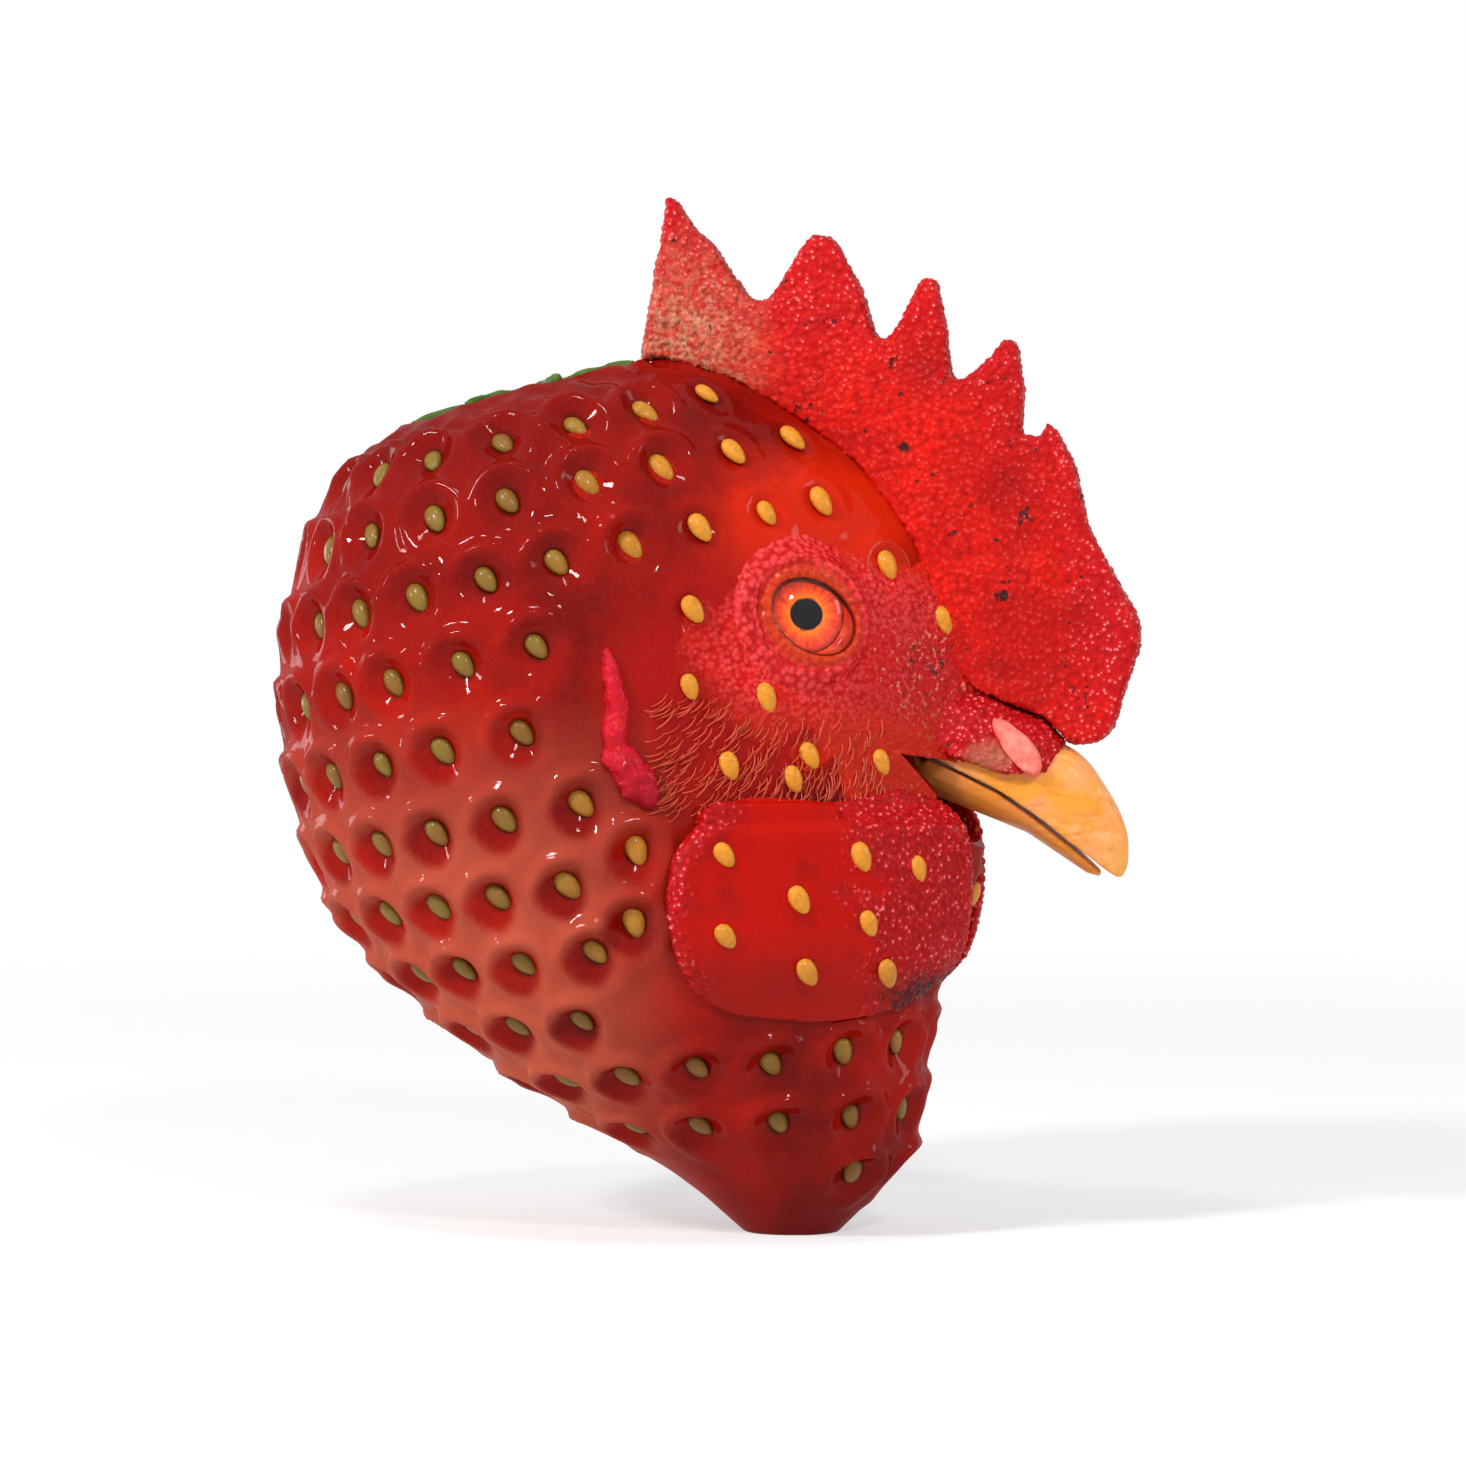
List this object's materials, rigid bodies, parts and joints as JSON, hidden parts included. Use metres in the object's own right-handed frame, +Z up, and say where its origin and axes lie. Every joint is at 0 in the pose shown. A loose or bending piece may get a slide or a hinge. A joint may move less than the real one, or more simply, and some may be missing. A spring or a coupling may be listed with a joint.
{
  "type": "rubber chicken",
  "caption": "Hollow rubber squeeze toy: a strawberry body with a rooster's face, comb, hinged beak, swinging wattles, inset seeds, green calyx and a reed squeaker in its tip.",
  "frame": {"origin": "centre of the squeaker's flat outer face at the strawberry's tip", "axes": "+X towards the beak, +Z up to the comb; the toy is mirrored about the XZ plane"},
  "size_m": [0.1199, 0.0786, 0.1442],
  "materials": {
    "skin": "glossy",
    "comb": "pebbled",
    "face_flesh": "pebbled",
    "flap": "satin",
    "mouth": "satin",
    "horn": "satin horn",
    "seeds": "satin",
    "calyx": "satin",
    "iris": "gloss",
    "eye_black": "gloss",
    "cornea": "clear gloss",
    "pin": "satin",
    "squeaker": "moulded",
    "reed": "film"
  },
  "bodies": {
    "skin": {"body_shell": "skin", "comb": "comb", "calyx": "calyx", "upper_beak": "horn", "cere": "face_flesh", "hinge_pin": "pin", "jaw_block": "mouth", "squeaker_housing": "squeaker", "reed_seat": "squeaker", "reed": "reed", "reed_wedge": "squeaker", "seeds_row_01": "seeds", "seeds_row_02": "seeds", "seeds_row_03": "seeds", "seeds_row_04": "seeds", "seeds_row_05": "seeds", "seeds_row_06": "seeds", "seeds_row_07": "seeds", "seeds_row_08": "seeds", "seeds_row_09": "seeds", "seeds_row_10": "seeds", "seeds_row_11": "seeds", "seeds_row_12": "seeds", "ear_lobe_right": "face_flesh", "ear_lobe_left": "face_flesh", "eye_cup_right": "eye_black", "eye_cup_left": "eye_black", "eye_washer_right": "squeaker", "eye_washer_left": "squeaker", "iris_right": "iris", "iris_left": "iris", "pupil_right": "eye_black", "pupil_left": "eye_black", "cornea_right": "cornea", "cornea_left": "cornea", "eyelid_right": "face_flesh", "eyelid_left": "face_flesh", "nostril_flap_right": "flap", "nostril_flap_left": "flap"},
    "lower_beak": {"lower_beak": "horn"},
    "wattle_right": {"wattle_right": "face_flesh", "wattle_seeds_right": "seeds"},
    "wattle_left": {"wattle_left": "face_flesh", "wattle_seeds_left": "seeds"}
  },
  "joints": [
    {"name": "beak_hinge", "type": "hinge", "parent": "skin", "child": "lower_beak", "pos_m": [0.0161, 0, 0.0662], "axis": [0, 1, 0], "range_deg": [0, 12]},
    {"name": "wattle_right_swing", "type": "hinge", "parent": "skin", "child": "wattle_right", "pos_m": [0.00033, -0.02761, 0.0606], "axis": [-0.8401, -0.5424, 0], "range_deg": [0, 25], "stiffness_Nm_per_rad": 0.002, "springref_deg": -11.46},
    {"name": "wattle_left_swing", "type": "hinge", "parent": "skin", "child": "wattle_left", "pos_m": [0.00033, 0.02761, 0.0606], "axis": [0.8401, -0.5424, 0], "range_deg": [0, 25], "stiffness_Nm_per_rad": 0.002, "springref_deg": -11.46}
  ]
}
